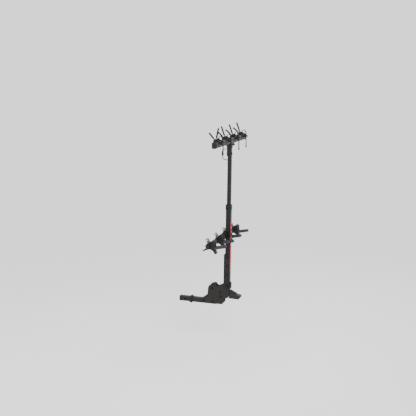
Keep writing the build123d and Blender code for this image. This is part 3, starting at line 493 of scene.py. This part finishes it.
def sleeve_rings(length):
    """Distance and radius of each ring of a sleeve: domed end, grip rings and lip."""
    radius, lip = SLEEVE_RADIUS, SLEEVE_RADIUS + 0.0009
    turns = [math.radians(degrees) for degrees in (8, 20, 35, 50, 65, 80, 90)]
    rings = [(radius * (1 - math.cos(turn)), radius * math.sin(turn)) for turn in turns]
    start = 0.022
    while start < length - 0.030:
        rings += groove(start, 0.0006, 0.0010, radius, 0.0006)
        start += 0.0065
    return rings + [(length - 0.007, radius), (length - 0.006, lip), (length - 0.0008, lip),
                    (length, radius + 0.0002)]


def prong_sleeves():
    """Dipped rubber sleeves with domed ends, grip rings and a lip at the foot."""
    mesh = bmesh.new()
    for station, y in enumerate(STATIONS):
        for side, route in prong_routes(station):
            route.append(PRONG_FOOT + (route[-1] - PRONG_FOOT).normalized() * PRONG_BARE)
            tip = route[0] + (route[0] - route[1]).normalized() * SLEEVE_RADIUS * 1000
            points = [mast_point(x, y * 1000 + side, z) for x, z in [tip] + route]
            walk = Walk(smooth_line(points))
            sizes = dict(sleeve_rings(walk.length))
            sweep(mesh, walk, list(sizes), lambda mark: circle(sizes[mark]), ACROSS)
    add_piece("prong_sleeve_grips", mesh, "upper_mast", "hook_rubber", ["prong_sleeves"])


def retaining_straps():
    """Moulded rubber straps: two rails with pockets between, and a ribbed pull tab at the end."""
    mesh = bmesh.new()
    route = [(-26, 1701), (2, 1701), (12, 1733), (38, 1733), (51, 1700), (51.5, 1640), (53, 1556)]
    for y in STATIONS:
        walk = Walk(smooth_line([mast_point(x, y * 1000, z) for x, z in route]))
        tab = walk.length - TAB_LENGTH
        marks, on_top = toggled(BAND_ROOT, tab - 0.004, 0.012, 0.005, 0.0008)
        marks += [tab - 0.002, tab, tab + 0.004, tab + 0.005, tab + 0.008, tab + 0.009, tab + 0.012,
                  walk.length - 0.001, walk.length]

        def cross(mark):
            if mark < tab:
                solid = on_top(mark) or mark < BAND_ROOT or mark > tab - 0.004
                return strap_cross(BAND_HALF, BAND_THICK, 0.0022 if solid else 0.0004, BAND_RAIL)
            ribbed = 0.0035 < mark - tab < 0.0055 or 0.0075 < mark - tab < 0.0095
            thick = 0.0074 if ribbed or mark > walk.length - 0.0005 else 0.0098
            return strap_cross(TAB_HALF, thick, thick / 2, BAND_RAIL)

        sweep(mesh, walk, marks, cross, ACROSS)
    add_piece("retaining_strap_bands", mesh, "upper_mast", "black_rubber", ["retaining_straps"])


def travel_bumper():
    """The rubber roller between the base plates, with rounded ends and five grooves."""
    mesh = bmesh.new()
    half, radius, rounded = BUMPER_HALF, BUMPER_RADIUS, BUMPER_RADIUS - 0.001
    walk = Walk([mast_point(BUMPER_X, side * 1000, BUMPER_Z) for side in (-half, half)])
    rings = [(0.0, BUMPER_END), (0.0008, rounded), (0.0025, radius)]
    for step in range(5):
        rings += groove(0.0068 + step * 0.0085, 0.0008, 0.0016, radius, 0.0012)
    rings += [(2 * half - 0.0025, radius), (2 * half - 0.0008, rounded), (2 * half, BUMPER_END)]
    sizes = dict(rings)
    sweep(mesh, walk, list(sizes), lambda mark: circle(sizes[mark], 40), AHEAD)
    add_piece("travel_bumper_roller", mesh, "base", "black_rubber", ["travel_bumper"])


def ribbed_pad(name, ends, half, floor, top, pitch, width, body, node):
    """A rubber pad with ribs across it, on a straight line between two points."""
    mesh = bmesh.new()
    walk = Walk([mast_point(x, 0, z) for x, z in ends])
    marks, on_top = toggled(0.0025, walk.length - 0.001, pitch, width, 0.0006)
    marks += [walk.length - 0.0006, walk.length]

    def cross(mark):
        level = top if on_top(mark) else floor
        left = [(-half + 0.0028, level), (-half + 0.0022, floor), (-half + 0.0006, floor),
                (-half, floor - 0.0005), (-half, 0.0)]
        return left + [(-over, up) for over, up in reversed(left)]

    sweep(mesh, walk, marks, cross, ACROSS)
    add_piece(name, mesh, body, "black_rubber", [node])


def lock_cable():
    """The coated security cable, one smooth loop from the head bracket to the mast."""
    route = [(-26, 0, 1574), (-56, 0, 1574), (-76, -3, 1561), (-81, -6, 1530), (-79, -6, 1497),
             (-64, -3, 1473), (-45, 0, 1465), (-19.05, 0, 1465)]
    curve = nurbs_curve("lock_cable_loop", [mast_point(*point) for point in route])
    curve.bevel_depth = 0.004
    curve.bevel_resolution = 5
    curve.materials.append(LOOKS["cable_sheath"])
    cable = bpy.data.objects.new("lock_cable_loop", curve)
    bpy.context.scene.collection.objects.link(cable)
    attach(cable, "upper_mast")
    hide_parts("lock_cable")


add_camera()
lock_cable()
add_studio()
add_floor()
dress_frame()
wheel_straps()
prong_sleeves()
retaining_straps()
travel_bumper()
ribbed_pad("pedal_tread_ribs", [(31.0, 129.49), (94.0, 98.89)], 0.031, 0.003, 0.006, 0.0076, 0.0046,
           "foot_pedal", "pedal_tread")
ribbed_pad("rear_pad_ribs", [(25.4, 214.0), (25.4, 154.0)], 0.024, 0.0098, 0.0114, 0.0075, 0.0050,
           "lower_mast", "rear_pad")
